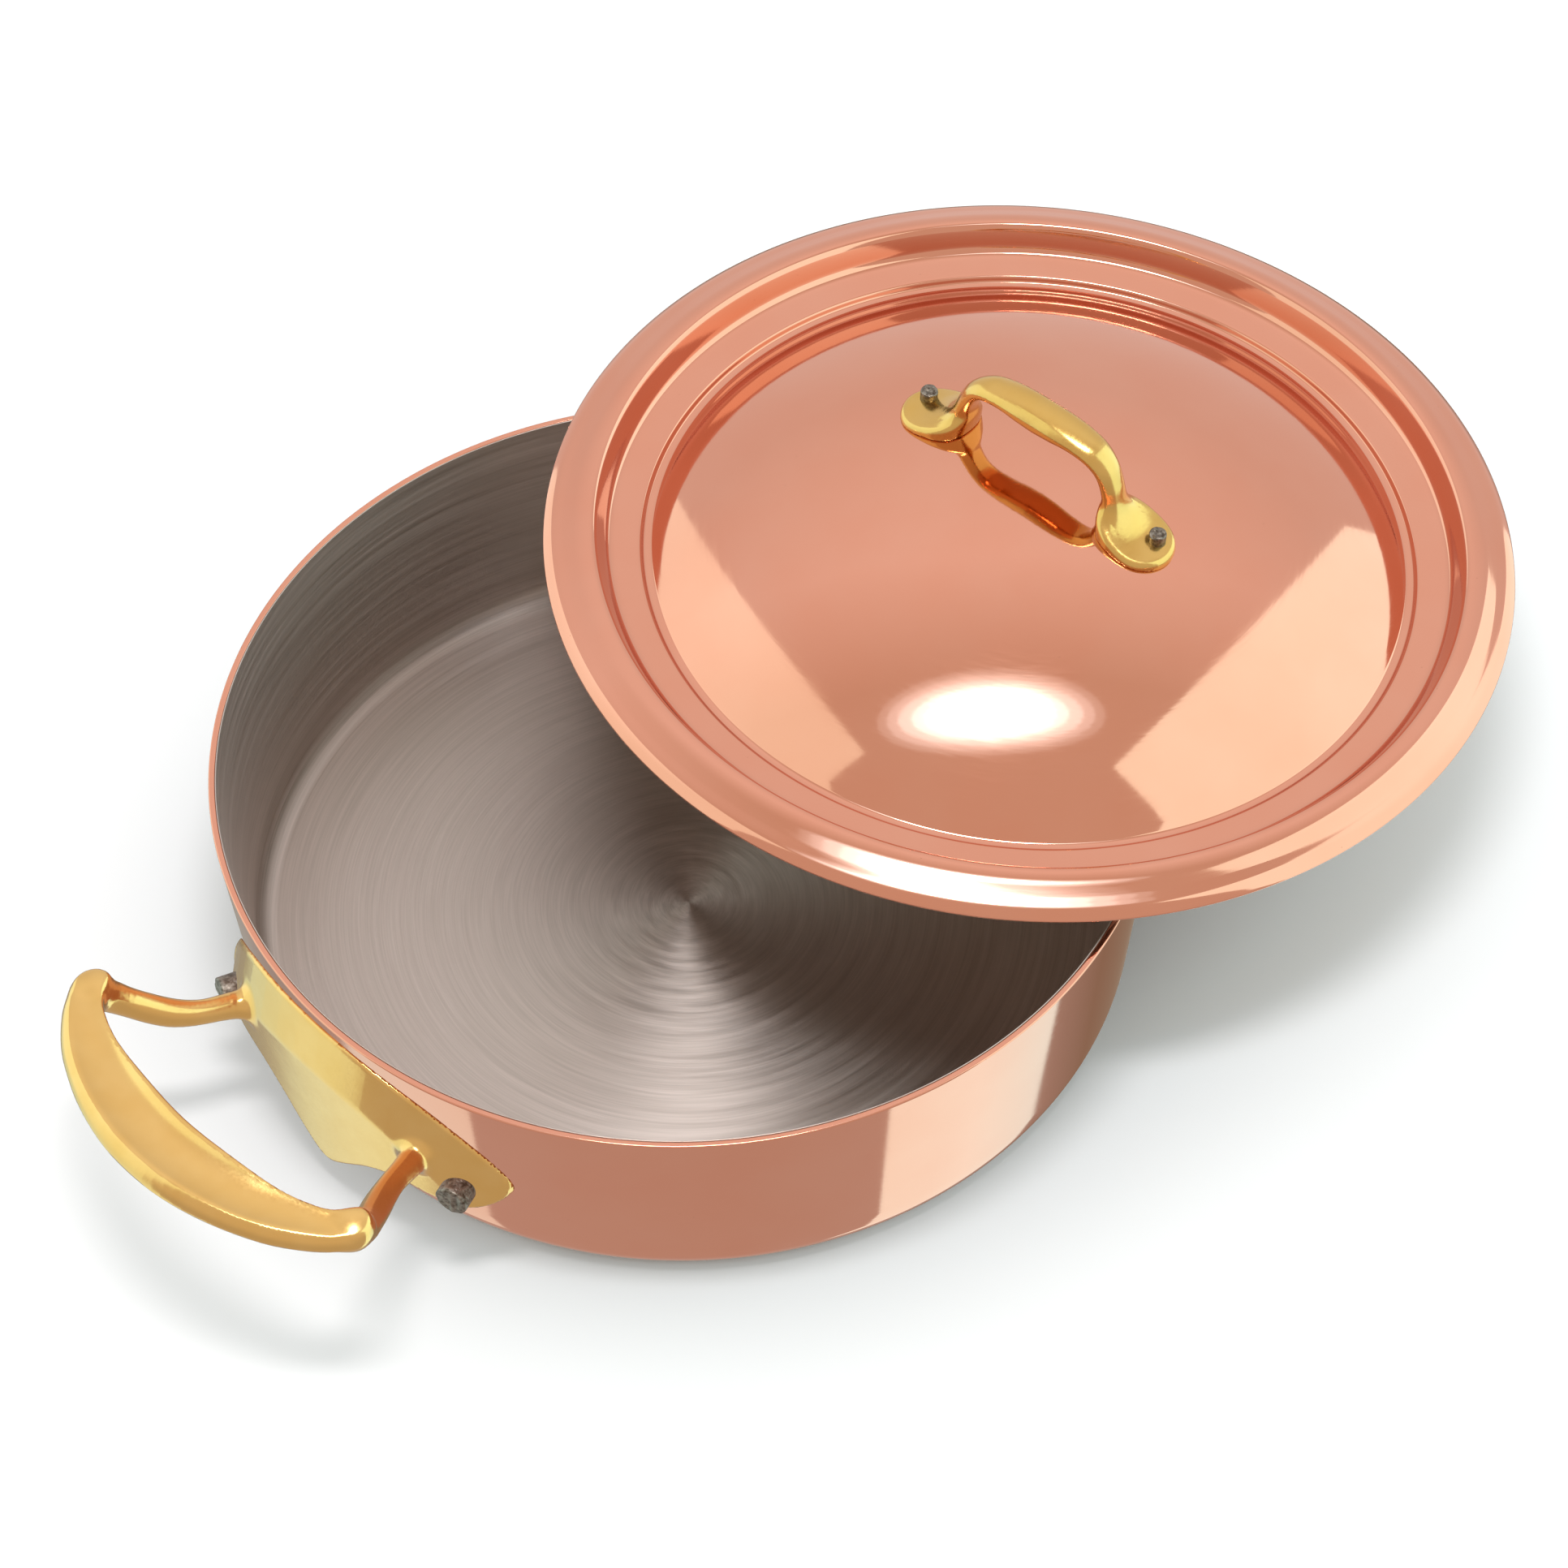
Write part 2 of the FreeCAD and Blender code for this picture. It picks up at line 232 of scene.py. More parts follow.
def outline_field(a, b, loop):
    """Signed distance from points (a, b) to a closed outline, negative inside."""
    nearest = np.full(a.shape, 1e9)
    inside = np.zeros(a.shape, bool)
    for (a0, b0), (a1, b1) in zip(loop, np.roll(loop, -1, axis=0)):
        da, db = a1 - a0, b1 - b0
        t = np.clip(((a - a0) * da + (b - b0) * db) / (da * da + db * db), 0, 1)
        nearest = np.minimum(nearest, (a - a0 - t * da) ** 2 + (b - b0 - t * db) ** 2)
        spans = (b0 > b) != (b1 > b)
        inside ^= spans & (a < a0 + (b - b0) * da / (db if db else 1e-9))
    return np.where(inside, -1, 1) * np.sqrt(nearest)


def rod_field(points, line):
    """Distance to a rod along rows of x, y, z, radius."""
    nearest = np.full(len(points), 1e9)
    for start, stop in zip(line, line[1:]):
        step = stop[:3] - start[:3]
        t = np.clip((points - start[:3]) @ step / (step @ step), 0, 1)
        reach = np.linalg.norm(points - start[:3] - t[:, None] * step, axis=1)
        nearest = np.minimum(nearest, reach - start[3] - t * (stop[3] - start[3]))
    return nearest


def slope_of(field, points, step=0.05):
    """Gradient of a field at points."""
    parts = []
    for axis in range(3):
        nudge = np.zeros(3)
        nudge[axis] = step
        parts.append((field(points + nudge) - field(points - nudge)) / (2 * step))
    return np.stack(parts, 1)


def sampled(field, low, high, cell, block=4, band=7.0):
    """Field values on a grid, worked out finely only near the surface."""
    counts = [int(math.ceil((b - a) / (cell * block))) * block for a, b in zip(low, high)]
    axes = [a + cell * np.arange(n) for a, n in zip(low, counts)]
    middle = [axis[::block] + cell * (block - 1) / 2 for axis in axes]
    coarse = np.stack(np.meshgrid(*middle, indexing="ij"), -1)
    value = field(coarse.reshape(-1, 3)).reshape(coarse.shape[:3])
    for axis in range(3):
        value = value.repeat(block, axis)
    near = np.argwhere(np.abs(value) < band)
    value[tuple(near.T)] = field(np.asarray(low) + cell * near)
    return value


def skinned(name, field, low, high, cell):
    """Quad mesh of the surface where a field is zero: one point a cell, pulled onto the surface."""
    inside = sampled(field, low, high, cell) < 0
    count = np.zeros([n - 1 for n in inside.shape], int)
    for i, j, k in product((0, 1), repeat=3):
        nx, ny, nz = count.shape
        count += inside[i:i + nx, j:j + ny, k:k + nz]
    cells = np.argwhere((count > 0) & (count < 8))
    index = np.full(count.shape, -1)
    index[tuple(cells.T)] = np.arange(len(cells))
    centres = np.asarray(low) + cell * (cells + 0.5)
    points = centres.copy()
    for _ in range(5):
        slope = slope_of(field, points)
        size = np.maximum((slope ** 2).sum(1), 0.2)
        points -= slope * (field(points) / size)[:, None]
        points = centres + np.clip(points - centres, -0.6 * cell, 0.6 * cell)
    faces = []
    for axis in range(3):
        u = np.eye(3, dtype=int)[(axis + 1) % 3]
        v = np.eye(3, dtype=int)[(axis + 2) % 3]
        here = np.take(inside, np.arange(inside.shape[axis] - 1), axis)
        ahead = np.take(inside, np.arange(1, inside.shape[axis]), axis)
        edges = np.argwhere(here != ahead)
        outward = here[tuple(edges.T)]
        quad = [index[tuple((edges - shift).T)] for shift in (u + v, v, 0 * u, u)]
        quad = np.stack(quad, 1)
        quad[~outward] = quad[~outward][:, ::-1]
        faces += quad.tolist()
    made = mesh_object(name, points, faces)
    normals = slope_of(field, points)
    normals /= np.maximum(np.linalg.norm(normals, axis=1), 1e-6)[:, None]
    made.data.normals_split_custom_set_from_vertices(normals.tolist())
    return made


# ---- pan -------------------------------------------------------------------------------------


def wall_radius(z):
    """Outer radius of the pan's wall at a height from the rim."""
    return RIM_RADIUS + (RIM_RADIUS - BASE_RADIUS) * z / PAN_HEIGHT


def bowl_line(depth):
    """Half section of the bowl moved in by depth, from the middle of the floor to the rim."""
    lean = math.degrees(math.atan((RIM_RADIUS - BASE_RADIUS) / PAN_HEIGHT))
    radius = CORNER_RADIUS - depth
    foot = wall_radius(depth - PAN_HEIGHT) - depth
    tangent = radius / math.tan(math.radians(90 + lean) / 2)
    corner = arc((foot - tangent, depth + radius), radius, -90, -lean, 14)
    floor = [(r, depth) for r in np.linspace(0, corner[0][0], 28)[:-1]]
    wall = np.linspace(corner[-1], (RIM_RADIUS - depth, PAN_HEIGHT - RIM_ROUND), 16)[1:]
    return floor + corner + [tuple(p) for p in wall]


def bowl_layer(name, outer, inner):
    """Solid layer of the bowl between two depths, with an eased rim."""
    outside = bowl_line(outer)
    inside = bowl_line(inner)
    ease = min(RIM_ROUND, (inner - outer) / 2)
    crest = arc((RIM_RADIUS - outer - ease, PAN_HEIGHT - ease), ease, 0, 90, 6)
    crest += arc((RIM_RADIUS - inner + ease, PAN_HEIGHT - ease), ease, 90, 180, 6)
    return lathe(name, outside + crest + inside[::-1], TURNS)


# ---- side handle, in its own frame: x outward, y across, z from the rim ------------------------


def mirrored(half):
    """Closed outline from the half with y >= 0, listed from y = 0 round to y = 0."""
    return half + [(-y, z) for y, z in reversed(half[1:-1])]


PLATE_TOP = [
    (0, -2.3), (8, -2.8), (16, -3.9), (24, -5.9), (32, -9.1), (38, -12.9), (43.5, -17.6),
    (48, -22.3), (51.2, -27.0),
]
PLATE_HALF = PLATE_TOP + [
    (52.6, -30.8), (52.0, -34.4), (48.8, -37.2), (44, -38.3), (36, -38.8), (29, -38.7),
    (22.4, -40.0), (15.5, -43.6), (8.3, -49.4), (3.4, -53.2), (0, -54.4),
]
PLATE_LOOP = smooth_loop(mirrored(PLATE_HALF), 4)
PLATE_EDGE = 1.3
PLATE_BEVEL = 0.25
PLATE_FACE = 126.5
PLATE_FACE_LEAN = 0.022
PLATE_RIDGE_HEIGHT = -18.0
PLATE_RIDGE_EASE = 0.35
PLATE_CORNER_EASE = 0.9
SEAT_EASE = 0.5

GRIP_HALF = [
    (185.3, 0), (184.3, 12), (180.7, 25), (174.6, 38), (168.2, 46.6), (162.6, 51.8), (157.0, 54.6),
    (151.6, 52.8), (150.4, 48.8), (155.0, 45.4), (158.8, 40.5), (162.7, 30), (165.2, 14),
    (166.2, 0),
]
GRIP_LOOP = smooth_loop(GRIP_HALF + [(x, -y) for x, y in reversed(GRIP_HALF[1:-1])], 4)
GRIP_REACH = 175.2
GRIP_SWEEP = 16.4
GRIP_HEIGHT = -1.6
GRIP_DROP = 2.8
GRIP_END = 50.0
GRIP_HALF_THICK = 4.6
GRIP_TAPER = 0.6
GRIP_KEEL = 0.35
INNER_EASE = 1.9
OUTER_EASE = 4.5
DISH_RADIUS = 15.0
DISH_DEPTH = 1.9
DISH_INWARD = 0.8
DISH_EASE = 0.6

LEG_FILLET = 4.0
GRIP_FILLET = 3.2
HANDLE_SPACE = (100, -58, -58), (189, 58, 9)
HANDLE_CELL = 0.7

LEG_LINE = smooth_line([
    (118.0, 31.0, -25.5, 4.0), (124.0, 33.6, -23.6, 3.6), (128.0, 35.0, -22.6, 3.3),
    (132.0, 36.3, -21.6, 3.2), (136.0, 38.1, -20.4, 3.4), (140.0, 40.4, -18.6, 3.7),
    (144.0, 43.2, -15.8, 3.8), (148.0, 46.2, -12.4, 3.8), (151.8, 48.7, -8.6, 4.2),
    (155.2, 49.8, -5.2, 4.5),
], 3)


def plate_field(x, y, z):
    """Winged plate: it slopes out from its top edge on the wall to a ridge, then drops upright."""
    radius = np.hypot(x, y)
    top = np.interp(np.abs(y), *zip(*PLATE_TOP))
    bevel = wall_radius(top) + PLATE_EDGE + PLATE_BEVEL * (top - z)
    face = PLATE_FACE + PLATE_FACE_LEAN * (z - PLATE_RIDGE_HEIGHT)
    outside = radius - easy_min(bevel, face, PLATE_RIDGE_EASE)
    shape = easy_max(outside, outline_field(y, z, PLATE_LOOP), PLATE_CORNER_EASE)
    return easy_max(shape, wall_radius(z) + SEAT_GAP - radius, SEAT_EASE)


def grip_middle(side):
    """x and z of the grip's middle line at a distance from its centre."""
    share = side / GRIP_END
    return GRIP_REACH - GRIP_SWEEP * share ** 2, GRIP_HEIGHT - GRIP_DROP * share ** 2


def grip_field(x, y, z):
    """Crescent grip: rounded outer side, tighter inner side, and a shallow dish along the top."""
    side = np.abs(y)
    middle_x, middle_z = grip_middle(side)
    height = GRIP_HALF_THICK - GRIP_TAPER * ramp(side, 10, GRIP_END)
    easing = INNER_EASE + (OUTER_EASE - INNER_EASE) * ramp(x - middle_x, -3, 5)
    easing = np.minimum(easing, height - 0.1)
    keel = GRIP_KEEL * np.maximum(middle_z - z, 0)
    across = outline_field(x, y, GRIP_LOOP) + easing + keel
    upright = np.abs(z - middle_z) - height + easing
    rounded = np.hypot(np.maximum(across, 0), np.maximum(upright, 0))
    bar = rounded + np.minimum(np.maximum(across, upright), 0) - easing
    depth = DISH_DEPTH * (1 - 0.6 * ramp(side, 28, GRIP_END))
    dish_z = middle_z + height + DISH_RADIUS - depth
    dish = DISH_RADIUS - np.hypot(x - middle_x + DISH_INWARD, z - dish_z)
    return easy_max(bar, dish, DISH_EASE)


def handle_field(points):
    """Plate, two legs and grip of one casting."""
    x, y, z = points.T
    folded = np.stack([x, np.abs(y), z], 1)
    legs = rod_field(folded, LEG_LINE)
    casting = easy_min(plate_field(x, y, z), legs, LEG_FILLET)
    casting = easy_min(casting, grip_field(x, y, z), GRIP_FILLET)
    return easy_max(casting, wall_radius(z) + SEAT_GAP - np.hypot(x, y), SEAT_EASE)


def side_handles():
    """The same casting on both sides of the pan."""
    first = skinned("handle_left", handle_field, *HANDLE_SPACE, HANDLE_CELL)
    first.location.z = PAN_HEIGHT * MM
    second = first.copy()
    second.data = first.data.copy()
    second.name = "handle_right"
    bpy.context.scene.collection.objects.link(second)
    first.rotation_euler.z = math.pi
    return first, second


# ---- lid -------------------------------------------------------------------------------------


def dome_sphere():
    """Centre height and radius of the sphere that the dome is part of."""
    half, foot = DOME_FOOT
    rise = DOME_APEX - foot
    radius = (half ** 2 + rise ** 2) / (2 * rise)
    return DOME_APEX - radius, radius


def dome_height(r):
    """Height of the dome at a distance from the lid's axis."""
    centre, radius = dome_sphere()
    return centre + math.sqrt(radius ** 2 - r ** 2)


def lid_line():
    """Half section of the lid's top surface, from the apex out to the lip."""
    centre, radius = dome_sphere()
    edge = math.degrees(math.asin(DOME_FOOT[0] / radius))
    dome = arc((0, centre), radius, 90, 90 - edge, 60)
    inner = pressed(dome + GROOVE_BENDS + [LEDGE_MIDDLE], GROOVE_SOFTNESS)
    flange = FLANGE_BENDS + [(LID_RADIUS, 0.0)]
    outer = pressed([LEDGE_MIDDLE] + BEAD_BENDS + flange, BEAD_SOFTNESS)
    return np.concatenate([inner[:-1], outer])


def lid_layer(name, top, bottom):
    """Solid layer of the lid between two depths, with a rounded lip."""
    line = lid_line()
    rows = kept_rows(line)
    above = inset(line, top)[rows]
    below = inset(line, bottom)[rows]
    centre = (above[-1] + below[-1]) / 2
    half = (above[-1] - below[-1]) / 2
    out = np.array([half[1], -half[0]])
    lip = [tuple(centre + half * math.cos(angle) + out * math.sin(angle))
           for angle in np.linspace(0, math.pi, 7)]
    above[0][0] = below[0][0] = 0.0
    return lathe(name, above[:-1].tolist() + lip + below[:-1][::-1].tolist(), LID_TURNS)


STRAP_LINE = smooth_line([
    (0.0, 48.7, 5.4, 3.6), (6.0, 48.8, 5.4, 3.3), (12.0, 48.6, 5.1, 2.7), (17.4, 47.3, 4.7, 2.5),
    (21.2, 44.3, 4.2, 2.5), (23.4, 40.0, 4.0, 2.5), (24.7, 35.4, 4.2, 2.6), (25.9, 30.8, 5.2, 2.8),
    (27.6, 27.0, 6.4, 3.2),
], 8)
PAD_HALF = [(43.2, 0), (41.9, 4.6), (38.4, 8.2), (33.6, 9.5), (28.4, 8.8), (24.4, 6.2), (22.9, 0)]
PAD_LOOP = smooth_loop(PAD_HALF + [(x, -y) for x, y in reversed(PAD_HALF[1:-1])], 4)
PAD_HALF_WIDTH = 9.0
PAD_THICK = 2.7
PAD_RISE = 1.6
PAD_CROWN = 0.9
PAD_EASE = 1.6
STRAP_CROWN = 1.8
STRAP_BELLY = 0.4
STRAP_EASE = 2.4
STRAP_FILLET = 5.0
STRAP_SPACE = (-46, -12, 16), (46, 12, 55)
STRAP_CELL = 0.55


def strap_field(x, y, z):
    """Arched strap of D section, followed along its middle line in the plane y = 0."""
    nearest = np.full(x.shape, 1e9)
    width, half, offset = (np.zeros(x.shape) for _ in range(3))
    for start, stop in zip(STRAP_LINE, STRAP_LINE[1:]):
        dx, dz = stop[:2] - start[:2]
        t = np.clip(((x - start[0]) * dx + (z - start[1]) * dz) / (dx * dx + dz * dz), 0, 1)
        gap_x = x - start[0] - t * dx
        gap_z = z - start[1] - t * dz
        gap = np.hypot(gap_x, gap_z)
        closer = gap < nearest
        nearest = np.where(closer, gap, nearest)
        width = np.where(closer, start[2] + t * (stop[2] - start[2]), width)
        half = np.where(closer, start[3] + t * (stop[3] - start[3]), half)
        offset = np.where(closer, np.sign(gap_z * dx - gap_x * dz) * gap, offset)
    crown = STRAP_CROWN * np.minimum((y / width) ** 2, 1)
    half = half - crown * np.where(offset > 0, 1, STRAP_BELLY)
    easing = np.minimum(STRAP_EASE, half - 0.1)
    across = np.abs(y) - width + easing
    upright = np.abs(offset) - half + easing
    rounded = np.hypot(np.maximum(across, 0), np.maximum(upright, 0))
    return rounded + np.minimum(np.maximum(across, upright), 0) - easing


def lid_handle_field(points):
    """Strap that flows into an oval pad at each end, sitting on the dome."""
    x, y, z = points.T
    side = np.abs(x)
    centre, radius = dome_sphere()
    above = np.sqrt(x ** 2 + y ** 2 + (z - centre) ** 2) - radius
    thick = PAD_THICK + PAD_RISE * ramp(side, 39, 24) - PAD_CROWN * (y / PAD_HALF_WIDTH) ** 2
    pad = easy_max(above - thick, outline_field(side, y, PAD_LOOP), PAD_EASE)
    casting = easy_min(pad, strap_field(side, y, z), STRAP_FILLET)
    return easy_max(casting, SEAT_GAP - above, SEAT_EASE)


def parked():
    """Matrix that moves the turned lid from its own frame to where it rests."""
    axis = Vector((-math.sin(LID_HEADING), math.cos(LID_HEADING), 0))
    return Matrix.Translation(LID_CENTRE * MM) @ Matrix.Rotation(LID_TILT, 4, axis)


# ---- rivets ----------------------------------------------------------------------------------


def hammered(rivet, top, grain, seed):
    """Dents the end of a rivet and roughens its edge, as a hammer leaves it."""
    for vertex in rivet.data.vertices:
        spot = vertex.co / MM
        near = min(max((spot.z - top + HAMMERED_DEPTH) / HAMMERED_DEPTH, 0), 1)
        if not near:
            continue
        dent = noise.noise(Vector((spot.x / grain, spot.y / grain, seed)))
        facet = noise.cell(Vector((spot.x / grain * 0.6, spot.y / grain * 0.6, seed)))
        flare = noise.noise(Vector((spot.x / grain, spot.y / grain, spot.z / grain + seed)))
        drop = RIVET_DENT * near ** 2 * (0.9 * max(-dent, 0) + 0.35 * facet)
        spread = 1 + RIVET_FLARE * near * flare
        vertex.co = Vector((spot.x * spread, spot.y * spread, spot.z - drop)) * MM


def rivet_solid(name, foot, head_radius, head_thick, radius, top, seed):
    """Rivet along Z: low head at the bottom, shank, hammered tail."""
    corner = head_thick * 0.7
    head = [(r, foot) for r in np.linspace(0, head_radius - corner, 5)]
    head += arc((head_radius - corner, foot + corner), corner, -90, 0, 5)[1:]
    head += [(head_radius, foot + head_thick), (radius, foot + head_thick)]
    shank = [(radius, z) for z in np.linspace(foot + head_thick, top - RIVET_EDGE, 16)[1:]]
    edge = arc((radius - RIVET_EDGE, top - RIVET_EDGE), RIVET_EDGE, 0, 90, 4)[1:]
    face = [(r, top) for r in np.linspace(radius - RIVET_EDGE, 0, 16)[1:]]
    made = lathe(name, head + shank + edge + face, 48, RIVET_CREASE)
    hammered(made, top, radius * 0.62, seed)
    return made


def side_rivets():
    """Two rivets for each side handle, numbered by where they sit."""
    made = {}
    places = [("right", 0, "front", -1), ("right", 0, "rear", 1),
              ("left", math.pi, "front", 1), ("left", math.pi, "rear", -1)]
    wall = wall_radius(RIVET_HEIGHT)
    for seed, (side, base, place, sign) in enumerate(places):
        name = f"side_rivet_{side}_{place}"
        foot = -COPPER_THICK - LINING_THICK - RIVET_HEAD_THICK * 0.6
        piece = rivet_solid(f"{name}_steel", foot, RIVET_HEAD_RADIUS, RIVET_HEAD_THICK, RIVET_RADIUS,
                            RIVET_TAIL_END - wall, 3.7 * seed + 1.3)
        heading = base + sign * RIVET_ANGLE
        outward = Vector((math.cos(heading), math.sin(heading), 0))
        root = outward * wall + UP * (PAN_HEIGHT + RIVET_HEIGHT)
        turn = outward.to_track_quat("Z", "Y").to_matrix().to_4x4()
        piece.matrix_world = Matrix.Translation(root * MM) @ turn
        made[name] = piece
    return made


def lid_rivets():
    """The two small rivets of the lid's handle, in the lid's frame."""
    made = {}
    seat = dome_height(LID_RIVET_OFFSET)
    for seed, (place, sign) in enumerate((("front", -1), ("rear", 1))):
        name = f"lid_rivet_{place}"
        foot = seat - LID_COPPER_THICK - LID_LINING_THICK - LID_RIVET_HEAD_THICK - LID_RIVET_HEAD_DROP
        piece = rivet_solid(f"{name}_steel", foot, LID_RIVET_HEAD_RADIUS, LID_RIVET_HEAD_THICK,
                            LID_RIVET_RADIUS, seat + LID_RIVET_TOP, 2.9 * seed + 7.1)
        shift = Matrix.Translation(Vector((sign * LID_RIVET_OFFSET, LID_RIVET_SIDE, 0)) * MM)
        piece.matrix_world = parked() @ LID_SPIN @ shift
        made[name] = piece
    return made


# ---- materials -------------------------------------------------------------------------------


def node(tree, kind, inputs=None, output=0, **settings):
    """A shader node with its inputs set or linked; returns one of its outputs."""
    made = tree.nodes.new(kind)
    for key, value in settings.items():
        setattr(made, key, value)
    for key, value in (inputs or {}).items():
        if isinstance(value, bpy.types.NodeSocket):
            tree.links.new(value, made.inputs[key])
        else:
            made.inputs[key].default_value = value
    return made.outputs[output]


def metal(name):
    """A metallic material; returns it, its tree, its shader and its millimetre coordinates."""
    made = bpy.data.materials.new(name)
    made.use_nodes = True
    tree = made.node_tree
    shader = tree.nodes["Principled BSDF"]
    shader.inputs["Metallic"].default_value = 1.0
    place = node(tree, "ShaderNodeTexCoord", output=3)
    place = node(tree, "ShaderNodeVectorMath", {0: place, 1: (1000, 1000, 1000)}, operation="MULTIPLY")
    return made, tree, shader, place


def noise_node(tree, place, scale, detail=2.0, rough=0.5):
    """Noise between 0 and 1; the scale counts waves in a millimetre."""
    return node(tree, "ShaderNodeTexNoise",
                {"Vector": place, "Scale": scale, "Detail": detail, "Roughness": rough})


def mapped(tree, value, low, high, to_low, to_high):
    """A value moved from one range to another and held inside it."""
    return node(tree, "ShaderNodeMapRange",
                {"Value": value, "From Min": low, "From Max": high, "To Min": to_low, "To Max": to_high})


def mixed(tree, share, one, other):
    """A colour between one and other."""
    return node(tree, "ShaderNodeMix", {0: share, 6: one, 7: other}, output=2, data_type="RGBA")


def rings(tree, place, pitch, spread):
    """Coordinates for marks that run round the Z axis: fine across, long round the turn."""
    flat = node(tree, "ShaderNodeVectorMath", {0: place, 1: (1, 1, 0)}, operation="MULTIPLY")
    radius = node(tree, "ShaderNodeVectorMath", {0: flat}, output=1, operation="LENGTH")
    round_trip = node(tree, "ShaderNodeVectorMath", {0: flat}, operation="NORMALIZE")
    around = node(tree, "ShaderNodeVectorMath", {0: round_trip, 1: (spread, spread, 0)},
                  operation="MULTIPLY")
    height = node(tree, "ShaderNodeSeparateXYZ", {0: place}, output=2)
    across = node(tree, "ShaderNodeMath", {0: radius, 1: height}, operation="ADD")
    across = node(tree, "ShaderNodeMath", {0: across, 1: 1 / pitch}, operation="MULTIPLY")
    lift = node(tree, "ShaderNodeCombineXYZ", {2: across})
    return node(tree, "ShaderNodeVectorMath", {0: around, 1: lift}, operation="ADD")


def bumped(tree, shader, height, strength, distance):
    """Feeds a height in millimetre units into the shader's normal."""
    normal = node(tree, "ShaderNodeBump",
                  {"Height": height, "Strength": strength, "Distance": distance * MM})
    tree.links.new(normal, shader.inputs["Normal"])


def polished_copper(name, roughness, ring_strength):
    """Mirror copper with faint tone drift, polishing marks round the turn and small scuffs."""
    made, tree, shader, place = metal(name)
    drift = noise_node(tree, place, 0.035, 3.0)
    marks = noise_node(tree, rings(tree, place, 0.35, 9.0), 1.0, 2.0)
    colour = mixed(tree, mapped(tree, drift, 0.35, 0.65, 0, 1), *COPPER_TONES)
    specks = node(tree, "ShaderNodeTexVoronoi", {"Vector": place, "Scale": 0.16})
    speck = mapped(tree, specks, 0.018, 0.03, 0.35, 0.0)
    colour = mixed(tree, speck, colour, SCUFF)
    tree.links.new(colour, shader.inputs["Base Color"])
    haze = node(tree, "ShaderNodeMath", {0: drift, 1: marks}, operation="MULTIPLY")
    rough = mapped(tree, haze, 0.12, 0.42, roughness * 0.75, roughness * 1.5)
    tree.links.new(rough, shader.inputs["Roughness"])
    bumped(tree, shader, marks, ring_strength, 0.02)
    return made


def brushed_steel():
    """Lining brushed in circles: fine ring marks with longer scores among them."""
    made, tree, shader, place = metal("steel_lining")
    shader.inputs["Anisotropic"].default_value = 0.8
    shader.inputs["Anisotropic Rotation"].default_value = 0.25
    tangent = node(tree, "ShaderNodeTangent", direction_type="RADIAL", axis="Z")
    tree.links.new(tangent, shader.inputs["Tangent"])
    fine = noise_node(tree, rings(tree, place, 0.36, 2.6), 1.0, 3.0)
    score = noise_node(tree, rings(tree, place, 1.7, 1.6), 1.0, 2.0)
    drift = noise_node(tree, place, 0.02, 2.0)
    tone = node(tree, "ShaderNodeMath", {0: fine, 1: score}, operation="ADD")
    share = mapped(tree, tone, 0.7, 1.3, 0, 1)
    colour = mixed(tree, share, (0.49, 0.405, 0.36, 1), (0.635, 0.525, 0.475, 1))
    colour = mixed(tree, mapped(tree, drift, 0.3, 0.7, 0, 0.3), colour, (0.52, 0.44, 0.38, 1))
    tree.links.new(colour, shader.inputs["Base Color"])
    tree.links.new(mapped(tree, score, 0.3, 0.7, 0.36, 0.44), shader.inputs["Roughness"])
    bumped(tree, shader, tone, 0.12, 0.03)
    return made


def cast_brass(name, base, tone):
    """Polished brass casting: soft waves left by the buff, faint pits and a warmer tone in places."""
    made, tree, shader, place = metal(name)
    waves = noise_node(tree, place, 0.11, 2.0)
    grain = noise_node(tree, place, 1.4, 3.0)
    colour = mixed(tree, mapped(tree, waves, 0.35, 0.65, 0, 1), base, tone)
    tree.links.new(colour, shader.inputs["Base Color"])
    tree.links.new(mapped(tree, grain, 0.3, 0.7, 0.16, 0.23), shader.inputs["Roughness"])
    height = node(tree, "ShaderNodeMath", {0: grain, 1: 0.12}, operation="MULTIPLY")
    height = node(tree, "ShaderNodeMath", {0: waves, 1: height}, operation="ADD")
    bumped(tree, shader, height, 0.25, 0.25)
    return made


def dull_steel():
    """Rivet steel: grey brown skin with a dark mottle that sits in the low spots of its bump."""
    made, tree, shader, place = metal("rivet_steel")
    mottle = noise_node(tree, place, 0.9, 4.0, 0.6)
    grain = noise_node(tree, place, 5.0, 3.0)
    colour = mixed(tree, mapped(tree, mottle, 0.35, 0.62, 0, 1), (0.085, 0.06, 0.043, 1),
                   (0.28, 0.235, 0.195, 1))
    tree.links.new(colour, shader.inputs["Base Color"])
    tree.links.new(mapped(tree, grain, 0.3, 0.7, 0.3, 0.55), shader.inputs["Roughness"])
    bumped(tree, shader, mottle, 0.6, 0.25)
    return made


def floor_paint():
    """Plain pale studio floor with the slightest unevenness."""
    made = bpy.data.materials.new("studio_floor")
    made.use_nodes = True
    tree = made.node_tree
    shader = tree.nodes["Principled BSDF"]
    place = node(tree, "ShaderNodeTexCoord", output=3)
    colour = mixed(tree, noise_node(tree, place, 3.0), (0.86, 0.825, 0.83, 1),
                   (0.85, 0.815, 0.82, 1))
    tree.links.new(colour, shader.inputs["Base Color"])
    shader.inputs["Roughness"].default_value = 0.6
    return made


# ---- studio ----------------------------------------------------------------------------------

CAMERA_PLACE = Vector((-0.6718, -0.7787, 1.3449))
CAMERA_AHEAD = Vector((0.41798, 0.46096, -0.78282))
CAMERA_UP = Vector((0.5404, 0.5665, 0.6221))
LENS = 147.2
WATTS = 3.2  # for each square metre of an area light at radiance one
AWAY = 47.8  # compass angle that the camera looks along

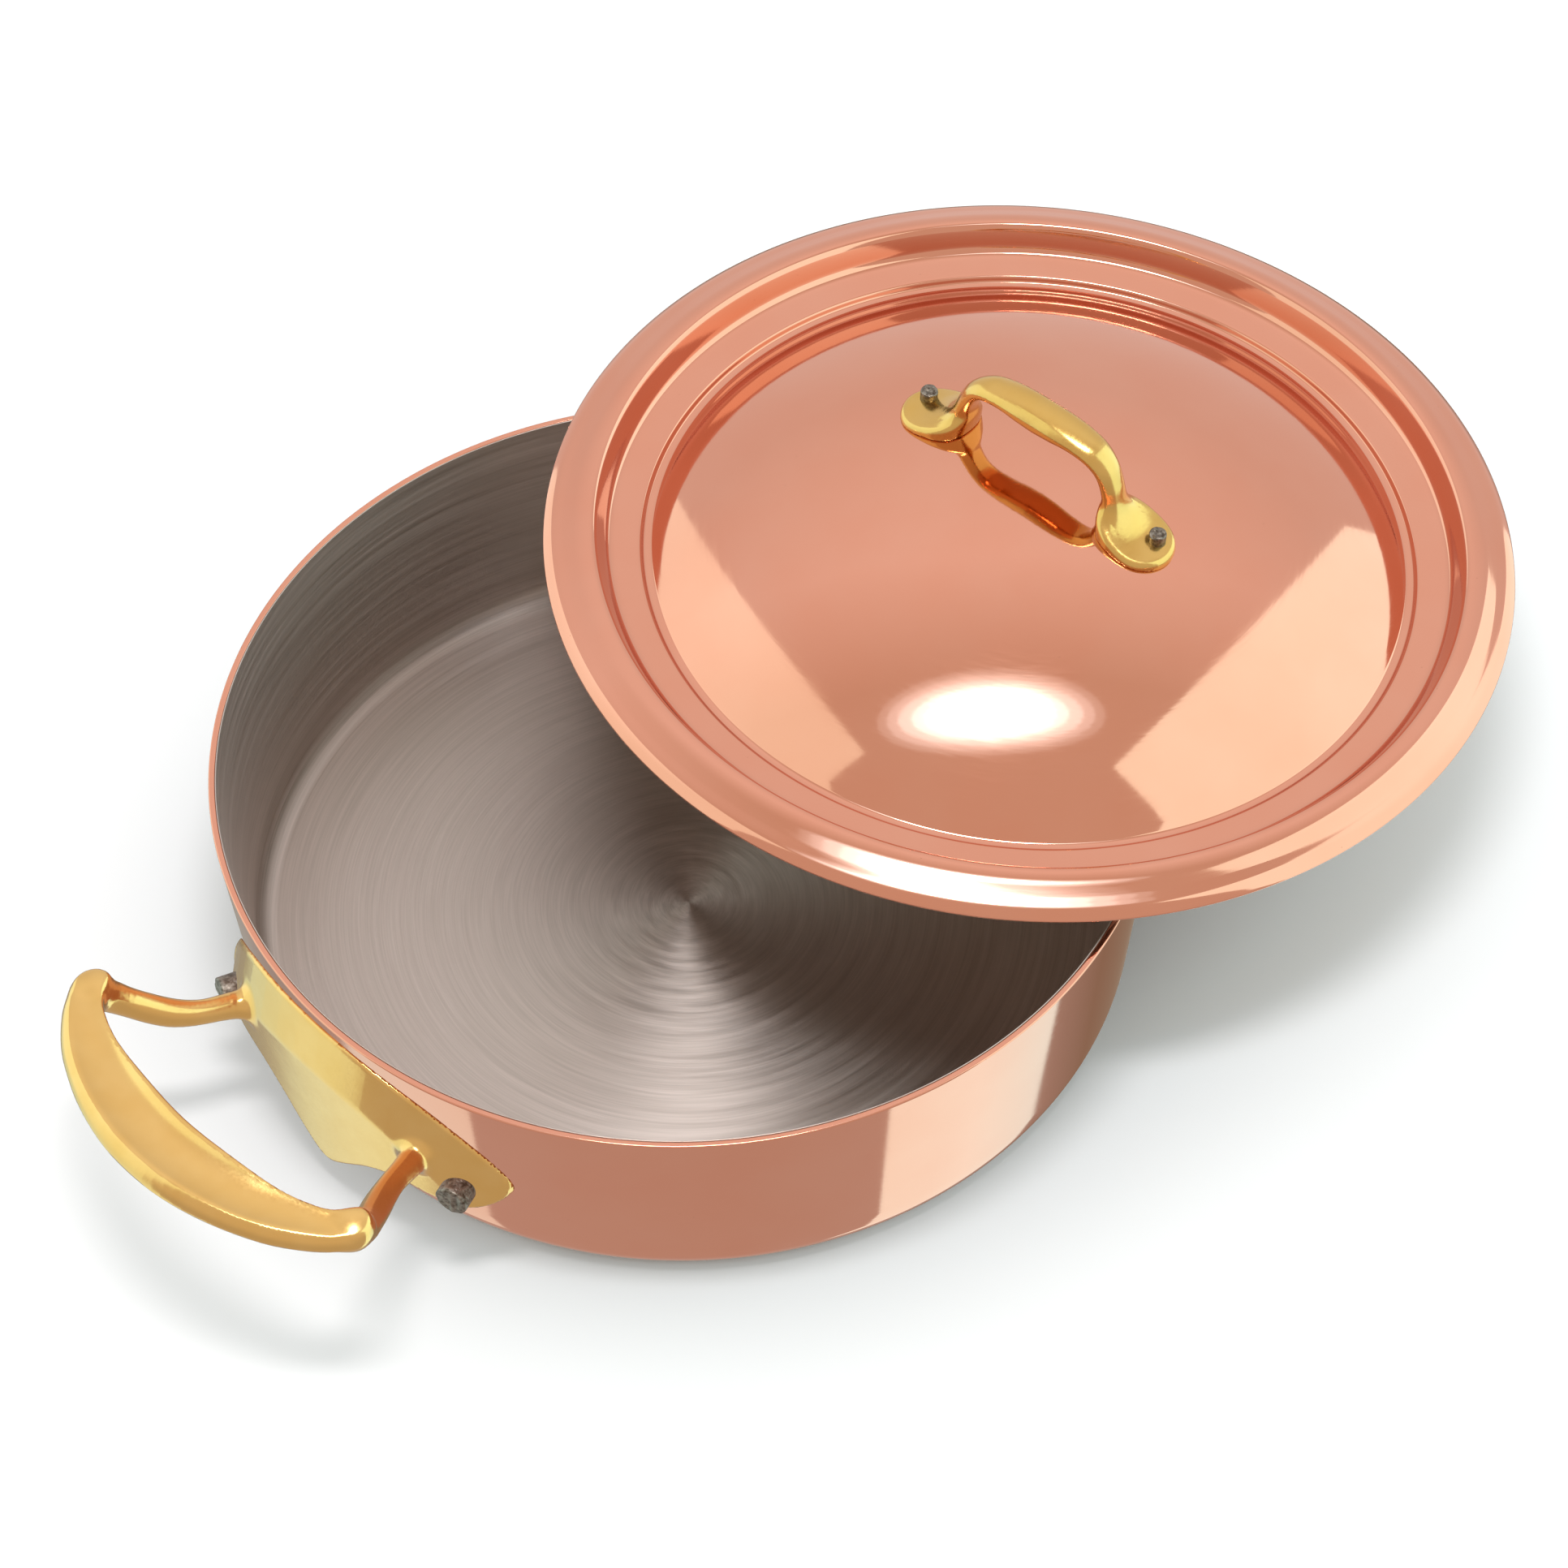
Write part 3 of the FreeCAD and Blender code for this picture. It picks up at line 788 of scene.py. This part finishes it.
BOX_TOP = 1.6
KEY_HEIGHT = 2.4
KEY_STEP = 0.01
KEY_BACK = 0.3
KEY_WHITE = (1, 1, 1)
KEY_EDGE = (0.42, 0.76, 1.0)
KEY_DISCS = [
    (0.32, 0.92, 20.0, KEY_WHITE), (0.44, 1.22, 1.1, KEY_EDGE), (0.54, 1.46, 0.8, KEY_EDGE),
    (0.63, 1.66, 0.5, KEY_EDGE), (0.72, 1.84, 0.3, KEY_EDGE),
]

FLOOR_HALF = 4000


def studio_camera():
    """Camera in front of the left handle, looking down at the pan."""
    data = bpy.data.cameras.new("camera")
    data.lens = LENS
    data.sensor_width = 36.0
    data.clip_start = 0.05
    made = bpy.data.objects.new("camera", data)
    bpy.context.scene.collection.objects.link(made)
    back = -CAMERA_AHEAD.normalized()
    right = CAMERA_UP.cross(back).normalized()
    turn = Matrix((right, back.cross(right), back)).transposed()
    made.matrix_world = Matrix.Translation(CAMERA_PLACE) @ turn.to_4x4()
    bpy.context.scene.camera = made


def flat(azimuth):
    """Unit vector along a compass angle of the frame, in degrees."""
    return Vector((math.cos(math.radians(azimuth)), math.sin(math.radians(azimuth)), 0))


def panel(name, place, facing, along, size, radiance, colour):
    """Area light at a place, facing a direction, its width running along another."""
    data = bpy.data.lights.new(name, "AREA")
    data.shape = "RECTANGLE"
    data.size, data.size_y = size
    data.color = colour
    data.energy = radiance * WATTS * size[0] * size[1]
    made = bpy.data.objects.new(name, data)
    bpy.context.scene.collection.objects.link(made)
    back = -facing.normalized()
    side = along.normalized()
    turn = Matrix((side, back.cross(side), back)).transposed()
    made.matrix_world = Matrix.Translation(place) @ turn.to_4x4()
    return made


def side_box(name, azimuth, quarter, distance, shift, width, foot, radiance, colour):
    """Upright soft box at an azimuth, moved by shift along its width, a quarter turn further on."""
    outward = flat(azimuth)
    run = flat(azimuth + quarter)
    place = outward * distance + run * shift + UP * (BOX_TOP + foot) / 2
    panel(name, place, -outward, run, (width, BOX_TOP - foot), radiance, colour)


def studio_lights():
    """A soft box on each side, reaching below the floor, and an oval key with a soft blue edge."""
    side_box("left_box", 168.7, -90, 0.76, 4.05, 8.0, -1.7, 0.8, (0.55, 0.88, 0.86))
    side_box("right_box", -82.2, 90, 0.85, 4.58, 9.0, -3.3, 1.16, (0.56, 0.97, 1.0))
    away = flat(AWAY)
    for i, (deep, wide, radiance, colour) in enumerate(KEY_DISCS):
        place = UP * (KEY_HEIGHT + KEY_STEP * i) - away * KEY_BACK
        key = panel(f"key_{i}", place, -UP, away, (deep, wide), radiance, colour)
        key.data.shape = "ELLIPSE"


def toward(tree, way, azimuth):
    """How far a direction points towards an azimuth, from -1 to 1."""
    return node(tree, "ShaderNodeVectorMath", {0: way, 1: flat(azimuth)}, output=1,
                operation="DOT_PRODUCT")


def studio_world():
    """Pale surroundings: brightest high up on the far side, darker low down and behind the camera."""
    world = bpy.data.worlds.new("studio")
    world.use_nodes = True
    bpy.context.scene.world = world
    tree = world.node_tree
    shade = tree.nodes["Background"]
    way = node(tree, "ShaderNodeTexCoord")
    height = node(tree, "ShaderNodeSeparateXYZ", {0: way}, output=2)
    rising = mapped(tree, height, 0.3, 0.95, 0, 1)
    upper = mixed(tree, rising, (0.92, 0.92, 0.92, 1), (1.12, 1.12, 1.12, 1))
    rightward = mapped(tree, toward(tree, way, -10), 0.1, 0.45, 0, 1)
    lower = mixed(tree, rightward, (0.41, 0.41, 0.37, 1), (0.31, 0.22, 0.15, 1))
    far = mixed(tree, mapped(tree, height, -0.5, -0.2, 0, 1), lower, upper)
    near = mixed(tree, mapped(tree, height, -0.3, 0.3, 0, 1), (0.66, 0.61, 0.565, 1),
                 (0.82, 0.75, 0.67, 1))
    ahead = mapped(tree, toward(tree, way, AWAY), 0.0, 0.42, 0, 1)
    tree.links.new(mixed(tree, ahead, near, far), shade.inputs["Color"])


def studio_floor():
    """Square of floor that mirror reflections leave out."""
    grid = [(x, y, 0) for x in (-FLOOR_HALF, FLOOR_HALF) for y in (-FLOOR_HALF, FLOOR_HALF)]
    made = mesh_object("floor", grid, [(0, 2, 3, 1)])
    made.data.materials.append(floor_paint())
    made.visible_glossy = False


# ---- the object ------------------------------------------------------------------------------


def dress(piece, body, node_name, slot, finish):
    """Gives a piece its finish and its body, and hides the CAD node that it stands for.

    Only the linings meet the light that the floor scatters: copper and brass would tint it.
    """
    piece.data.materials.clear()
    piece.data.materials.append(finish)
    piece.visible_diffuse = slot == "lining_steel"
    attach(piece, body)
    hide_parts(node_name)


def build():
    """Makes every piece of the pan and the lid and gives it its material."""
    copper = polished_copper("copper_pan", 0.05, 0.12)
    lid_copper = polished_copper("copper_lid", 0.06, 0.10)
    steel = brushed_steel()
    # The side handles' brass is set lighter and paler than the lid's: painted light for the brighter look
    # their grips and plates take under the lamps.
    brass = cast_brass("brass_side", (0.76, 0.47, 0.165, 1), (0.74, 0.445, 0.145, 1))
    lid_brass = cast_brass("brass_lid", (0.675, 0.42, 0.13, 1), (0.655, 0.395, 0.11, 1))
    rivet = dull_steel()
    bowl = bowl_layer("copper_bowl", 0, COPPER_THICK - LAYER_GAP)
    bowl_lining = bowl_layer("steel_bowl_lining", COPPER_THICK, COPPER_THICK + LINING_THICK)
    dress(bowl, "pan", "pan_body", "copper", copper)
    dress(bowl_lining, "pan", "pan_lining", "lining_steel", steel)
    left, right = side_handles()
    dress(left, "pan", "side_handle_left", "handle_brass", brass)
    dress(right, "pan", "side_handle_right", "handle_brass", brass)
    left.visible_glossy = right.visible_glossy = False
    for name, piece in side_rivets().items():
        dress(piece, "pan", name, "rivet_steel", rivet)
        piece.visible_glossy = False
    shell = lid_layer("copper_lid", 0, LID_COPPER_THICK - LAYER_GAP)
    lining = lid_layer("steel_lid_lining", LID_COPPER_THICK, LID_COPPER_THICK + LID_LINING_THICK)
    strap = skinned("lid_strap", lid_handle_field, *STRAP_SPACE, STRAP_CELL)
    strap.data.transform(LID_SPIN)
    for piece in (shell, lining, strap):
        piece.matrix_world = parked()
    dress(shell, "lid", "lid_shell", "copper", lid_copper)
    dress(lining, "lid", "lid_lining", "lining_steel", steel)
    dress(strap, "lid", "lid_handle", "handle_brass", lid_brass)
    for name, piece in lid_rivets().items():
        dress(piece, "lid", name, "rivet_steel", rivet)


build()
studio_floor()
studio_lights()
studio_world()
studio_camera()
bpy.context.scene.view_settings.view_transform = "Standard"
